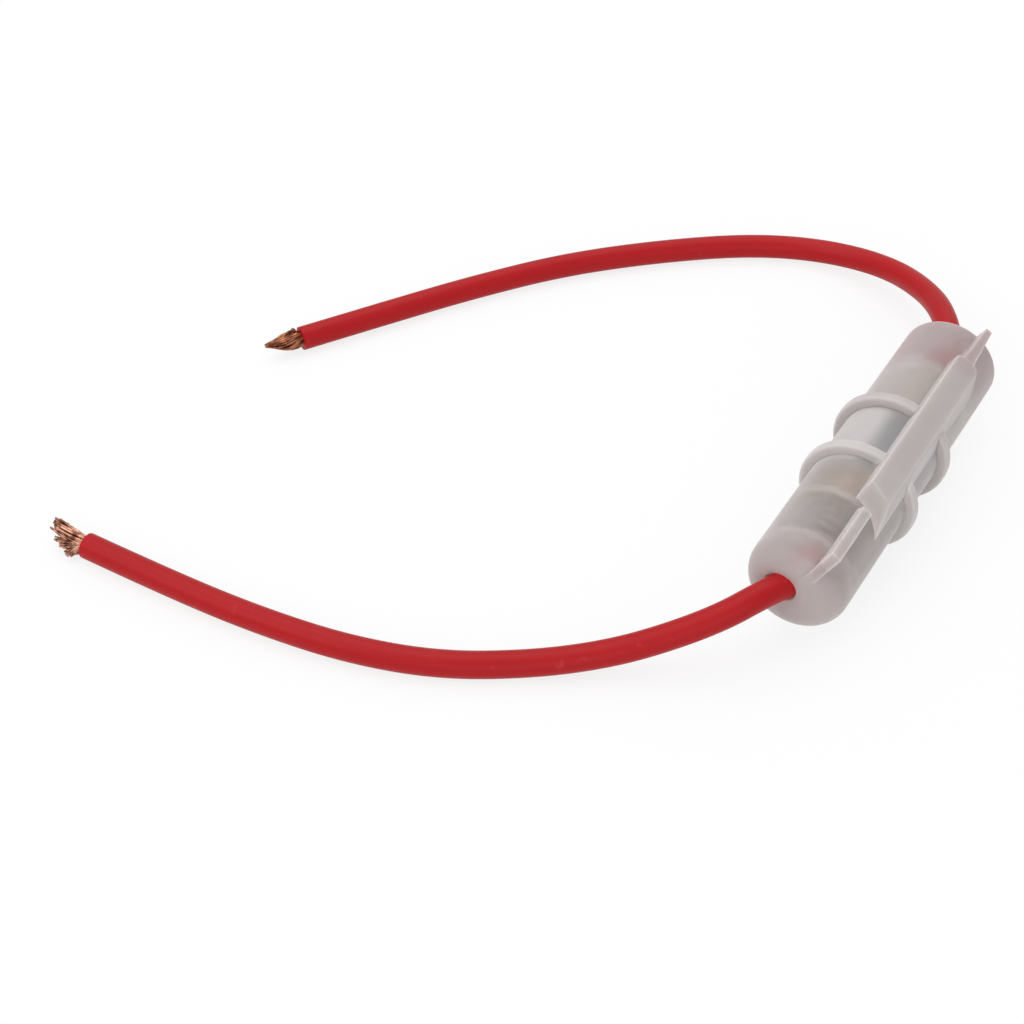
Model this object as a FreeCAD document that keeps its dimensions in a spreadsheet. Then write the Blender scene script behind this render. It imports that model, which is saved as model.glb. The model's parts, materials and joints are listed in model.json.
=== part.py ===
"""Inline holder for one 5 x 20 mm glass fuse, with two bare-ended leads.

Two moulded halves push together over the fuse: the near half has a spigot and a sprung contact,
the far half has the socket and a fixed contact. A long key on the far half lies in a notch of the
near half's collar, so the halves can only be drawn straight apart.

Frame: +X runs along the holder from the near lead to the far lead, +Z is up, the origin is under
the middle of the holder, on the surface that its two collars and both leads lie on. Millimetres.
"""
import FreeCAD, Part
import math
import os

import Sketcher

V = FreeCAD.Vector
DOC = FreeCAD.newDocument("inline_fuse_holder")
SHEET_NAME = "Sizes"

# Driving dimensions: alias, millimetres or degrees, what it is
SIZES = [
    ("spigot_wall", 1.02, "near half round the contact's bore"),
    ("socket_wall", 1.09, "far half round the spigot, which sets the tube's outside"),
    ("collar_step", 1.05, "collars over the tube, on the radius"),
    ("collar_thick", 1.2, "along the holder"),
    ("collar_round", 0.3, "edges of the collars"),
    ("near_collar_past", 3.6, "fuse's near end to the near collar"),
    ("collar_space", 7.2, "between the two collars"),
    ("near_wall", 4.7, "near end to the spring seat"),
    ("far_wall", 7.7, "far contact's seat to the far end"),
    ("near_round", 2.5, "rounded nose of the near half"),
    ("far_round", 0.3, "edge of the far end"),
    ("spigot_gap", 2.0, "spigot's mouth to the far contact"),
    ("spigot_chamfer", 0.5, "lead-in of the spigot"),
    ("socket_clear", 0.06, "spigot in socket, on the radius"),
    ("socket_spare", 0.4, "socket past the spigot's mouth"),
    ("part_gap", 0.1, "between the two halves when shut"),
    ("fuse_length", 20.0, "over the end caps"),
    ("fuse_dia", 5.2, "over the end caps"),
    ("fuse_cap_length", 5.2, "one end cap"),
    ("fuse_cap_wall", 0.2, "sheet of the end cap"),
    ("fuse_glass_wall", 0.6, "glass tube"),
    ("element_dia", 0.16, "fuse wire"),
    ("solder_dia", 2.4, "bead that holds the fuse wire"),
    ("solder_length", 0.9, "bead that holds the fuse wire"),
    ("contact_clear", 0.05, "fuse cap in contact, on the radius"),
    ("contact_wall", 0.25, "drawn brass contact"),
    ("contact_floor", 0.7, "drawn brass contact"),
    ("contact_depth", 4.5, "inside the contact"),
    ("contact_round", 0.4, "rim of the contact's floor"),
    ("contact_travel", 1.2, "free forward stroke of the near contact"),
    ("barrel_dia", 2.3, "crimp barrel behind the contact"),
    ("barrel_length", 3.0, "crimp barrel behind the contact"),
    ("bore_clear", 0.08, "contact in its bore, on the radius"),
    ("stop_lip", 0.25, "step that stops the near contact"),
    ("stop_gap", 0.1, "left at the end of the stroke"),
    ("spring_length", 6.6, "contact spring, shut"),
    ("spring_dia", 4.2, "contact spring, to the wire's middle"),
    ("spring_wire", 0.5, "contact spring"),
    ("spring_turns", 5.5, "contact spring"),
    ("near_fin_thick", 1.1, "grip fin of the near half"),
    ("far_fin_root", 1.6, "grip fin of the far half, at the key"),
    ("far_fin_tip", 0.7, "grip fin of the far half, at the far end"),
    ("fin_rise", 1.55, "fins over the tube"),
    ("fin_lean", 33.0, "degrees from upright, away from the leads"),
    ("fin_start", 1.2, "near end to the fin's corner"),
    ("fin_toe", 1.0, "flat of the near end to the fin's toe, on the radius"),
    ("fin_slope", 1.0, "near fin's far end, along the holder"),
    ("fin_gap", 0.3, "near fin to the foot of the key"),
    ("key_reach", 4.3, "key's top edge to the near collar"),
    ("key_slope", 1.5, "ramp at the key's near end"),
    ("key_past", 1.7, "far contact's seat to the key's far end"),
    ("key_rise", 0.7, "key over the collars"),
    ("key_top_width", 2.8, "flat top of the key"),
    ("key_foot_width", 2.5, "foot of the key, without its flank"),
    ("key_flank", 3.2, "middle of the key to the foot of its sloping flank"),
    ("key_flank_drop", 0.8, "flank's foot below the key's foot"),
    ("key_round", 0.9, "far corners of the key"),
    ("key_edge", 0.2, "long top edges of the key"),
    ("key_under", 0.15, "key over the near half's tube"),
    ("key_clear", 0.15, "key in its notch, each side"),
    ("notch_sink", 0.45, "notch floor below the tube's crown"),
    ("lead_dia", 2.7, "insulated lead"),
    ("lead_clear", 0.05, "lead in its hole, on the radius"),
    ("near_lead_back", 0.1, "spring seat to the near lead's inner end"),
    ("far_lead_back", 0.3, "far contact's barrel to the far lead's inner end"),
    ("bell_flare", 0.6, "far lead hole's mouth over the hole, on the radius"),
    ("bell_depth", 2.6, "far lead hole's mouth, along the holder"),
    ("exit_clear", 0.2, "near lead in the slanted hole that it leaves by, on the radius"),
    ("near_lead_bend", 2.6, "near end to the first bend of the near lead"),
    ("far_lead_bend", 0.1, "far end to the first bend of the far lead"),
    ("core_dia", 1.2, "stranded conductor"),
    ("core_clear", 0.05, "conductor in the lead's end, on the radius"),
    ("core_stripped", 2.1, "conductor inside the lead's end"),
    ("core_in_barrel", 2.3, "conductor inside the crimp barrel"),
    ("strand_dia", 0.24, "one bare strand"),
    ("near_bare", 4.0, "bare strands of the near lead"),
    ("far_bare", 3.4, "bare strands of the far lead"),
]

# Routes of the leads after their first bend: x, y, and height above lying flat
NEAR_ROUTE = [
    (-23.6, 2.25, 5.85), (-28.4, 7.6, 2.6), (-33.0, 13.7, 0.7), (-38.5, 22.4, 0.05), (-41.8, 31.0, 0.0),
    (-43.9, 40.8, 0.0), (-45.0, 52.6, 0.0), (-45.3, 64.6, 0.0),
]
FAR_ROUTE = [
    (27.2, 3.1, 4.75), (32.6, 7.4, 3.35), (37.0, 14.0, 1.6), (38.7, 21.8, 0.3), (36.3, 29.0, 0.0),
    (27.4, 39.3, 0.0), (17.6, 49.0, 0.0), (6.0, 57.7, 0.0), (-6.5, 65.3, 0.0),
]
ARC_SHARE = 0.45            # of the shorter run, taken by the arc at a point
STRAND_RINGS = [(1, 0.0, 0.0), (6, 0.30, 0.72), (7, 0.56, 1.16)]   # count, radius at the lead, at the tip
STRAND_TWIST = 35.0         # degrees that the frayed strands turn from root to tip
STRAND_BEND = 0.4           # of a strand's length, root to its bend
STRAND_SHORT = 0.22         # share by which the shortest strand falls short
STRAND_ROOT = 0.2           # of a strand's first run, back into the insulation before it is cut flat
CORE_RING = 6               # strands round the middle one of a conductor
CORE_STRAND_GAP = 0.005     # taken off a conductor strand's radius, so that they lie clear
SOLDER_WAIST = 0.75         # of the bead's radius, half way along it
CUT_OVER = 1.2              # a cut's reach past the face that it opens through
EXIT_BACK = 0.8             # start of the near lead's slanted hole, inward of the lead's first bend
RAMP_SKEW = 0.3             # of its width, by which the key's ramp runs further on the flank's side


class Dim:
    """A size that carries its expression and its value."""

    def __init__(self, text, value):
        self.text = text
        self.value = value

    def join(self, other, sign, value):
        text = other.text if isinstance(other, Dim) else repr(float(other))
        return Dim(f"({self.text} {sign} {text})", value)

    def __add__(self, other):
        return self.join(other, "+", self.value + number(other))

    def __sub__(self, other):
        return self.join(other, "-", self.value - number(other))

    def __mul__(self, other):
        return self.join(other, "*", self.value * number(other))

    def __truediv__(self, other):
        return self.join(other, "/", self.value / number(other))

    def __neg__(self):
        return self * -1


def number(size):
    return size.value if isinstance(size, Dim) else float(size)


def make_sheet():
    sheet = DOC.addObject("Spreadsheet::Sheet", SHEET_NAME)
    for row, (alias, value, meaning) in enumerate(SIZES, start=1):
        sheet.set(f"A{row}", alias)
        sheet.set(f"B{row}", str(value))
        sheet.setAlias(f"B{row}", alias)
        sheet.set(f"C{row}", meaning)
    DOC.recompute()
    return {alias: Dim(f"{SHEET_NAME}.{alias}", float(sheet.get(alias))) for alias, _, _ in SIZES}


S = make_sheet()

# Stations along the holder, from its near end
NEAR_END = Dim("0.0", 0.0)
NEAR_BEND = NEAR_END + S["near_lead_bend"]
SPRING_SEAT = S["near_wall"]
CONTACT_BACK = SPRING_SEAT + S["spring_length"]
FUSE_START = CONTACT_BACK + S["contact_floor"]
FUSE_END = FUSE_START + S["fuse_length"]
FAR_SEAT = FUSE_END + S["contact_floor"]
BODY_LENGTH = FAR_SEAT + S["far_wall"]
NEAR_MOUTH = FUSE_START + S["contact_depth"]
FAR_MOUTH = FUSE_END - S["contact_depth"]
STOP_AT = NEAR_MOUTH + S["contact_travel"] + S["stop_gap"]
NEAR_COLLAR = FUSE_START + S["near_collar_past"]
SPIGOT_ROOT = NEAR_COLLAR + S["collar_thick"]
SPIGOT_MOUTH = FAR_MOUTH - S["spigot_gap"]
FAR_HALF_START = SPIGOT_ROOT + S["part_gap"]
SOCKET_END = SPIGOT_MOUTH + S["socket_spare"]
FAR_COLLAR = SPIGOT_ROOT + S["collar_space"]
FAR_COLLAR_BACK = FAR_COLLAR + S["collar_thick"]
KEY_START = NEAR_COLLAR - S["key_reach"]
KEY_FOOT = KEY_START - S["key_slope"]
KEY_END = FAR_SEAT + S["key_past"]
FIN_FOOT = KEY_FOOT - S["fin_gap"]
NEAR_BARREL = CONTACT_BACK - S["barrel_length"]
FAR_BARREL = FAR_SEAT + S["barrel_length"]
NEAR_LEAD_END = SPRING_SEAT - S["near_lead_back"]
FAR_LEAD_END = FAR_BARREL + S["far_lead_back"]

# Radii from the holder's axis, and the axis's height over the surface
FUSE_R = S["fuse_dia"] / 2
GLASS_R = FUSE_R - S["fuse_cap_wall"]
CONTACT_BORE_R = FUSE_R + S["contact_clear"]
CONTACT_R = CONTACT_BORE_R + S["contact_wall"]
BORE_R = CONTACT_R + S["bore_clear"]
SPIGOT_R = BORE_R + S["spigot_wall"]
SOCKET_R = SPIGOT_R + S["socket_clear"]
TUBE_R = SOCKET_R + S["socket_wall"]
COLLAR_R = TUBE_R + S["collar_step"]
AXIS_HEIGHT = COLLAR_R
FIN_TOP = TUBE_R + S["fin_rise"]
KEY_TOP = COLLAR_R + S["key_rise"]
LEAD_R = S["lead_dia"] / 2
HOLE_R = LEAD_R + S["lead_clear"]
CORE_R = S["core_dia"] / 2
BELL_R = HOLE_R + S["bell_flare"]
NOSE_FLAT_R = TUBE_R - S["near_round"]

# Section of the key, from the holder's axis
KEY_ROOT = (TUBE_R + SOCKET_R) / 2
FLANK_ROOT = KEY_ROOT - S["key_flank_drop"]
HALF_FOOT = S["key_foot_width"] / 2
HALF_TOP = S["key_top_width"] / 2
FLANK_FOOT = S["key_flank"]


def along(station):
    """The frame's X of a station counted from the holder's near end."""
    return station - BODY_LENGTH / 2


def bind(thing, prop, size):
    thing.setExpression(prop, size.text)


def seat_on_axis(thing, station=None, turn=None):
    """Lift a piece made about the X axis to the holder's axis, and set where it starts."""
    thing.Placement = FreeCAD.Placement(V(0, 0, AXIS_HEIGHT.value), turn or FreeCAD.Rotation())
    bind(thing, "Placement.Base.z", AXIS_HEIGHT)
    if station is not None:
        bind(thing, "Placement.Base.x", along(station))


def flank_at(up):
    """Across the key, where its sloping flank lies at a height from the axis."""
    return (FLANK_FOOT - HALF_TOP) / (KEY_TOP - FLANK_ROOT) * (up - FLANK_ROOT) - FLANK_FOOT


def origin_plane(body, role):
    return next(item for item in body.Origin.OriginFeatures if item.Role == role)


def outline(body, name, role, points):
    """Closed sketch through points (across, up), each bound to its own expressions."""
    sketch = body.newObject("Sketcher::SketchObject", name)
    sketch.AttachmentSupport = (origin_plane(body, role), "")
    sketch.MapMode = "FlatFace"
    corners = [V(number(across), number(up), 0) for across, up in points]
    for index, corner in enumerate(corners):
        sketch.addGeometry(Part.LineSegment(corner, corners[(index + 1) % len(corners)]), False)
    for index in range(len(corners)):
        sketch.addConstraint(Sketcher.Constraint("Coincident", index, 2, (index + 1) % len(corners), 1))
    for index, (across, up) in enumerate(points):
        for kind, axis, size in (("DistanceX", -2, across), ("DistanceY", -1, up)):
            if not isinstance(size, Dim):
                sketch.addConstraint(Sketcher.Constraint("PointOnObject", index, 1, axis))
                continue
            made = sketch.addConstraint(Sketcher.Constraint(kind, -1, 1, index, 1, size.value))
            sketch.setExpression(f"Constraints[{made}]", size.text)
    return sketch


def side_outline(body, name, points):
    """Closed sketch on the upright plane of the holder's axis, through (station, radius) points."""
    return outline(body, name, "XZ_Plane", [(along(station), radius) for station, radius in points])


def turned(name, points):
    """A body of revolution about the holder's axis, from (station, radius) points."""
    body = DOC.addObject("PartDesign::Body", name)
    body.Label = name
    sketch = side_outline(body, f"{name}_profile", points)
    turn = body.newObject("PartDesign::Revolution", f"{name}_turned")
    turn.Profile = sketch
    turn.ReferenceAxis = (sketch, ["H_Axis"])
    turn.Angle = 360
    sketch.Visibility = False
    DOC.recompute()
    seat_on_axis(body)
    return body


def plate(body, name, points, thickness):
    """Pad a (station, radius) outline to both sides of the body's upright plane."""
    sketch = side_outline(body, f"{name}_side", points)
    pad = body.newObject("PartDesign::Pad", name)
    pad.Profile = sketch
    pad.SideType = "Symmetric"
    bind(pad, "Length", thickness)
    DOC.recompute()
    return pad


def edges_where(shape, test):
    return [f"Edge{index}" for index, edge in enumerate(shape.Edges, start=1) if test(edge)]


def is_rim(edge, station, radius):
    """True for a full circle about the X axis at that station and radius."""
    curve = edge.Curve
    if not isinstance(curve, Part.Circle):
        return False
    return abs(curve.Center.x - along(station).value) < 1e-4 and abs(curve.Radius - radius.value) < 1e-4


def soften(body, name, test, radius, kind="Fillet"):
    """Fillet or chamfer the edges of the body's tip that pass the test."""
    base = body.Tip
    feature = body.newObject(f"PartDesign::{kind}", name)
    feature.Base = (base, edges_where(base.Shape, test))
    bind(feature, "Radius" if kind == "Fillet" else "Size", radius)
    DOC.recompute()
    body.Tip = feature
    return feature


def crosswise(body, name, start, points):
    """Closed sketch across the holder at a station, through (across, up from the axis) points."""
    sketch = outline(body, name, "YZ_Plane", points)
    raise_sketch(sketch, along(start))
    return sketch


def raise_sketch(sketch, rise):
    """Move a sketch off its plane, along the plane's normal."""
    sketch.AttachmentOffset = FreeCAD.Placement(V(0, 0, rise.value), FreeCAD.Rotation())
    bind(sketch, "AttachmentOffset.Base.z", rise)


def lean_body(body):
    """Turn a finished half about its axis, so that its fin leans away from the leads."""
    seat_on_axis(body, turn=FreeCAD.Rotation(V(1, 0, 0), S["fin_lean"].value))
    bind(body, "Placement.Rotation.Angle", S["fin_lean"])


def near_half():
    """Near shell: nose, spring chamber, collar with the key's notch, spigot and grip fin."""
    stop_r = BORE_R - S["stop_lip"]
    body = turned("near_shell", [
        (NEAR_END, 0), (NEAR_END, TUBE_R), (NEAR_COLLAR, TUBE_R),
        (NEAR_COLLAR, COLLAR_R), (SPIGOT_ROOT, COLLAR_R), (SPIGOT_ROOT, SPIGOT_R),
        (SPIGOT_MOUTH, SPIGOT_R), (SPIGOT_MOUTH, stop_r), (STOP_AT, stop_r), (STOP_AT, BORE_R),
        (SPRING_SEAT, BORE_R), (SPRING_SEAT, HOLE_R), (NEAR_BEND, HOLE_R), (NEAR_BEND, 0),
    ])
    soften(body, "near_nose", lambda edge: is_rim(edge, NEAR_END, TUBE_R), S["near_round"])
    soften(body, "near_collar_edges", lambda edge: is_rim(edge, NEAR_COLLAR, COLLAR_R)
           or is_rim(edge, SPIGOT_ROOT, COLLAR_R), S["collar_round"])
    soften(body, "spigot_lead_in", lambda edge: is_rim(edge, SPIGOT_MOUTH, SPIGOT_R), S["spigot_chamfer"],
           "Chamfer")
    in_wall = (TUBE_R + BORE_R) / 2
    plate(body, "near_fin", [
        (NEAR_END, HOLE_R), (NEAR_END, NOSE_FLAT_R + S["fin_toe"]), (S["fin_start"], FIN_TOP),
        (FIN_FOOT - S["fin_slope"], FIN_TOP), (FIN_FOOT, in_wall), (SPRING_SEAT, in_wall),
    ], S["near_fin_thick"])
    floor = TUBE_R - S["notch_sink"]
    notch = crosswise(body, "key_notch_section", NEAR_COLLAR - S["key_clear"], [
        (-FLANK_FOOT - S["key_clear"], FLANK_ROOT), (-HALF_FOOT - S["key_clear"], floor),
        (HALF_FOOT + S["key_clear"], floor), (HALF_FOOT + S["key_clear"], COLLAR_R + CUT_OVER),
        (flank_at(COLLAR_R + CUT_OVER) - S["key_clear"], COLLAR_R + CUT_OVER),
    ])
    cut_through(body, "key_notch", notch, S["collar_thick"] + S["key_clear"] * 2, one_way=True)
    cut_through(body, "near_exit", near_exit_section(body), S["near_lead_bend"] * 2, one_way=True)
    lean_body(body)
    return body


def near_exit_section(body):
    """Circle square to the near lead's line after its first bend, a little inward of that bend."""
    bend = V(along(NEAR_BEND).value, 0, 0)
    x, y, lift = NEAR_ROUTE[0]
    upright = V(x, y, LEAD_R.value + lift - AXIS_HEIGHT.value) - bend
    ahead = FreeCAD.Rotation(V(1, 0, 0), -S["fin_lean"].value).multVec(upright)
    ahead.normalize()
    start = bend - ahead * EXIT_BACK
    sketch = body.newObject("Sketcher::SketchObject", "near_exit_section")
    sketch.AttachmentSupport = (origin_plane(body, "YZ_Plane"), "")
    sketch.MapMode = "FlatFace"
    sketch.AttachmentOffset = FreeCAD.Placement(
        V(start.y, start.z, start.x), FreeCAD.Rotation(V(0, 0, 1), V(ahead.y, ahead.z, ahead.x)))
    radius = LEAD_R + S["exit_clear"]
    sketch.addGeometry(Part.Circle(V(0, 0, 0), V(0, 0, 1), radius.value), False)
    sketch.addConstraint(Sketcher.Constraint("Coincident", 0, 3, -1, 1))
    made = sketch.addConstraint(Sketcher.Constraint("Radius", 0, radius.value))
    sketch.setExpression(f"Constraints[{made}]", radius.text)
    return sketch


def far_half():
    """Far shell: socket, collar, contact bore, lead hole, the long key and the far grip fin."""
    body = turned("far_shell", [
        (FAR_HALF_START, SOCKET_R), (FAR_HALF_START, TUBE_R), (FAR_COLLAR, TUBE_R), (FAR_COLLAR, COLLAR_R),
        (FAR_COLLAR_BACK, COLLAR_R), (FAR_COLLAR_BACK, TUBE_R), (BODY_LENGTH, TUBE_R), (BODY_LENGTH, BELL_R),
        (BODY_LENGTH - S["bell_depth"], HOLE_R), (FAR_SEAT, HOLE_R), (FAR_SEAT, BORE_R),
        (SOCKET_END, BORE_R), (SOCKET_END, SOCKET_R),
    ])
    soften(body, "far_rim", lambda edge: is_rim(edge, BODY_LENGTH, TUBE_R), S["far_round"])
    soften(body, "far_collar_edges", lambda edge: is_rim(edge, FAR_COLLAR, COLLAR_R)
           or is_rim(edge, FAR_COLLAR_BACK, COLLAR_R), S["collar_round"])
    pad_start = KEY_FOOT - S["key_slope"] * 2
    section = crosswise(body, "key_section", pad_start, [
        (-FLANK_FOOT, FLANK_ROOT), (-HALF_FOOT, KEY_ROOT), (HALF_FOOT, KEY_ROOT), (HALF_TOP, KEY_TOP),
        (-HALF_TOP, KEY_TOP),
    ])
    key = body.newObject("PartDesign::Pad", "key_bar")
    key.Profile = section
    bind(key, "Length", KEY_END - pad_start)
    DOC.recompute()
    body.Tip = key
    soften(body, "key_far_corners", is_key_corner, S["key_round"])
    over = KEY_TOP + CUT_OVER
    before = pad_start - CUT_OVER
    ramp_share = S["key_slope"] / (KEY_TOP - TUBE_R)
    ramp = side_outline(body, "key_ramp_side", [
        (before, FLANK_ROOT), (KEY_START - ramp_share * (KEY_TOP - FLANK_ROOT), FLANK_ROOT), (KEY_START, KEY_TOP),
        (KEY_START, over), (before, over),
    ])
    cut_through(body, "key_ramp", ramp, (FLANK_FOOT + CUT_OVER) * 2, skew=RAMP_SKEW)
    soften(body, "key_top_edges", is_key_top_edge, S["key_edge"])
    under = side_outline(body, "key_under_side", [
        (before, SPIGOT_R), (FAR_HALF_START, SPIGOT_R), (FAR_HALF_START, TUBE_R + S["key_under"]),
        (before, TUBE_R + S["key_under"]),
    ])
    groove = body.newObject("PartDesign::Groove", "key_underside")
    groove.Profile = under
    groove.ReferenceAxis = (under, ["H_Axis"])
    groove.Angle = 360
    DOC.recompute()
    body.Tip = groove
    fin_start = along(KEY_END - S["key_round"] * 2)
    fin_end = along(BODY_LENGTH)
    plan = outline(body, "far_fin_plan", "XY_Plane", [
        (fin_start, -S["far_fin_root"] / 2), (fin_end, -S["far_fin_tip"] / 2), (fin_end, S["far_fin_tip"] / 2),
        (fin_start, S["far_fin_root"] / 2),
    ])
    raise_sketch(plan, KEY_ROOT)
    fin = body.newObject("PartDesign::Pad", "far_fin")
    fin.Profile = plan
    bind(fin, "Length", FIN_TOP - KEY_ROOT)
    DOC.recompute()
    body.Tip = fin
    lean_body(body)
    return body


def cut_through(body, name, sketch, width, one_way=False, skew=0.0):
    """Pocket a sketch, to both sides or along X only, and see that it removes material."""
    uncut = body.Tip.Shape.Volume
    pocket = body.newObject("PartDesign::Pocket", name)
    pocket.Profile = sketch
    if one_way:
        pocket.Reversed = True
    else:
        pocket.SideType = "Symmetric"
    if skew:
        pocket.UseCustomVector = True
        pocket.Direction = V(skew, 1, 0)
        pocket.AlongSketchNormal = True
    bind(pocket, "Length", width)
    DOC.recompute()
    if pocket.Shape.Volume >= uncut:
        raise RuntimeError(f"{name} cuts nothing")
    body.Tip = pocket


def is_key_corner(edge):
    """True for the two upright corner edges of the key's far end."""
    end_x = along(KEY_END).value
    ends = [vertex.Point for vertex in edge.Vertexes]
    if not isinstance(edge.Curve, Part.Line) or any(abs(point.x - end_x) > 1e-4 for point in ends):
        return False
    rises = abs(ends[0].z - ends[1].z) > (KEY_TOP - TUBE_R).value / 2
    return rises and min(abs(point.y) for point in ends) > HALF_FOOT.value / 2


def is_key_top_edge(edge):
    """True for the long top edges of the key, and the round ones that join them."""
    top = KEY_TOP.value
    ends = [vertex.Point for vertex in edge.Vertexes]
    if len(ends) != 2 or any(abs(point.z - top) > 1e-4 for point in ends):
        return False
    return any(point.x > along(KEY_START).value + 1e-3 for point in ends)


def contact(name, mouth, floor_front, floor_back, barrel_end):
    """Drawn brass cup for one end of the fuse, with a crimp barrel behind its floor."""
    barrel_r = S["barrel_dia"] / 2
    body = turned(name, [
        (mouth, CONTACT_BORE_R), (mouth, CONTACT_R), (floor_back, CONTACT_R), (floor_back, barrel_r),
        (barrel_end, barrel_r), (barrel_end, CORE_R), (floor_back, CORE_R), (floor_back, 0),
        (floor_front, 0), (floor_front, CONTACT_BORE_R),
    ])
    soften(body, f"{name}_rim", lambda edge: is_rim(edge, floor_back, CONTACT_R), S["contact_round"])
    return body


def fuse_cap(name, end, mouth, floor):
    """Pressed end cap of the fuse."""
    body = turned(name, [
        (end, 0), (end, FUSE_R), (mouth, FUSE_R), (mouth, GLASS_R), (floor, GLASS_R), (floor, 0),
    ])
    soften(body, f"{name}_edge", lambda edge: is_rim(edge, end, FUSE_R), S["fuse_cap_wall"])
    return body


def solder(name, floor, tip):
    """Bead of solder that holds the fuse wire inside an end cap."""
    wire_r = S["element_dia"] / 2
    bead_r = S["solder_dia"] / 2
    middle = (floor + tip) / 2
    return turned(name, [(floor, wire_r), (floor, bead_r), (middle, bead_r * SOLDER_WAIST), (tip, wire_r)])


def fuse():
    """Glass fuse: tube, two caps, the wire between them and its two beads."""
    near_floor = FUSE_START + S["fuse_cap_wall"]
    far_floor = FUSE_END - S["fuse_cap_wall"]
    made = [
        turned("fuse_glass", [
            (near_floor, GLASS_R - S["fuse_glass_wall"]), (near_floor, GLASS_R), (far_floor, GLASS_R),
            (far_floor, GLASS_R - S["fuse_glass_wall"]),
        ]),
        fuse_cap("fuse_cap_near", FUSE_START, FUSE_START + S["fuse_cap_length"], near_floor),
        fuse_cap("fuse_cap_far", FUSE_END, FUSE_END - S["fuse_cap_length"], far_floor),
        solder("fuse_solder_near", near_floor, near_floor + S["solder_length"]),
        solder("fuse_solder_far", far_floor, far_floor - S["solder_length"]),
    ]
    wire = DOC.addObject("Part::Cylinder", "fuse_element")
    wire.Label = "fuse_element"
    bind(wire, "Radius", S["element_dia"] / 2)
    bind(wire, "Height", far_floor - near_floor)
    seat_on_axis(wire, near_floor, FreeCAD.Rotation(V(0, 1, 0), 90))
    return made + [wire]


def spring():
    """Compression spring between the near half's seat and the near contact."""
    wire = S["spring_wire"]
    helix = DOC.addObject("Part::Helix", "spring_line")
    bind(helix, "Height", S["spring_length"] - wire)
    bind(helix, "Pitch", (S["spring_length"] - wire) / S["spring_turns"])
    bind(helix, "Radius", S["spring_dia"] / 2)
    section = DOC.addObject("Part::Circle", "spring_section")
    section.Placement = FreeCAD.Placement(V(0, 0, 0), FreeCAD.Rotation(V(1, 0, 0), 90))
    bind(section, "Radius", wire / 2)
    bind(section, "Placement.Base.x", S["spring_dia"] / 2)
    DOC.recompute()
    coil = DOC.addObject("Part::Sweep", "contact_spring")
    coil.Label = "contact_spring"
    coil.Sections = [section]
    coil.Spine = (helix, ["Edge1"])
    coil.Solid = True
    coil.Frenet = True
    seat_on_axis(coil, SPRING_SEAT + wire / 2, FreeCAD.Rotation(V(0, 1, 0), 90))
    return coil


def plain_feature(name, shape):
    feature = DOC.addObject("Part::Feature", name)
    feature.Label = name
    feature.Shape = shape
    return feature


def core(name, start, end):
    """Stranded conductor as a middle strand and a ring, straight from one station to another."""
    strand_r = CORE_R.value / 3 - CORE_STRAND_GAP
    length = (end - start).value
    base = V(along(start).value, 0, AXIS_HEIGHT.value)
    spots = [V(0, 0, 0)]
    for index in range(CORE_RING):
        angle = 2 * math.pi * index / CORE_RING
        spots.append(V(0, math.cos(angle), math.sin(angle)) * (CORE_R.value - strand_r))
    rods = [Part.makeCylinder(strand_r, length, base + spot, V(1, 0, 0)) for spot in spots]
    return plain_feature(name, Part.makeCompound(rods))


def rounded_path(points, report=None):
    """Straight runs joined by tangent arcs, each as large as its two runs allow."""
    edges = []
    radii = []
    start = points[0]
    for before, corner, after in zip(points, points[1:], points[2:]):
        back = before - corner
        ahead = after - corner
        reach = ARC_SHARE * min(back.Length, ahead.Length)
        half_turn = (math.pi - back.getAngle(ahead)) / 2
        radius = reach / math.tan(half_turn)
        back.normalize()
        ahead.normalize()
        into = corner + back * reach
        out = corner + ahead * reach
        middle = back + ahead
        middle.normalize()
        crown = corner + middle * (radius / math.cos(half_turn) - radius)
        edges.append(Part.LineSegment(start, into).toShape())
        edges.append(Part.Arc(into, crown, out).toShape())
        radii.append(radius)
        start = out
    edges.append(Part.LineSegment(start, points[-1]).toShape())
    if report:
        print(report, "arc radii", [round(radius, 1) for radius in radii])
    return Part.Wire(edges)


def round_pipe(points, radius, report=None):
    """A round bar along a rounded path; its volume is compared with section times length."""
    path = rounded_path(points, report)
    section = Part.Wire(Part.Circle(points[0], points[1] - points[0], radius).toShape())
    bar = path.makePipeShell([section], True, False)
    expected = math.pi * radius ** 2 * path.Length
    if abs(bar.Volume - expected) > 0.01 * expected:
        raise RuntimeError(f"bar volume {bar.Volume:.2f}, expected {expected:.2f}")
    if report:
        print(report, "length", round(path.Length, 1), "volume", round(bar.Volume, 1))
    return bar


def lead(name, inner_end, first_bend, route):
    """One insulated lead from inside its half to its cut end, with the bore its conductor leaves by."""
    points = [inner_end, first_bend] + [V(x, y, LEAD_R.value + lift) for x, y, lift in route]
    bar = round_pipe(points, LEAD_R.value, name)
    inward = inner_end - first_bend
    inward.normalize()
    bore_r = (CORE_R + S["core_clear"]).value
    bore_depth = (S["core_stripped"] + S["core_clear"]).value
    bore = Part.makeCylinder(bore_r, bore_depth, inner_end - inward * bore_depth, inward)
    return plain_feature(name, bar.cut(bore)), points


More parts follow.
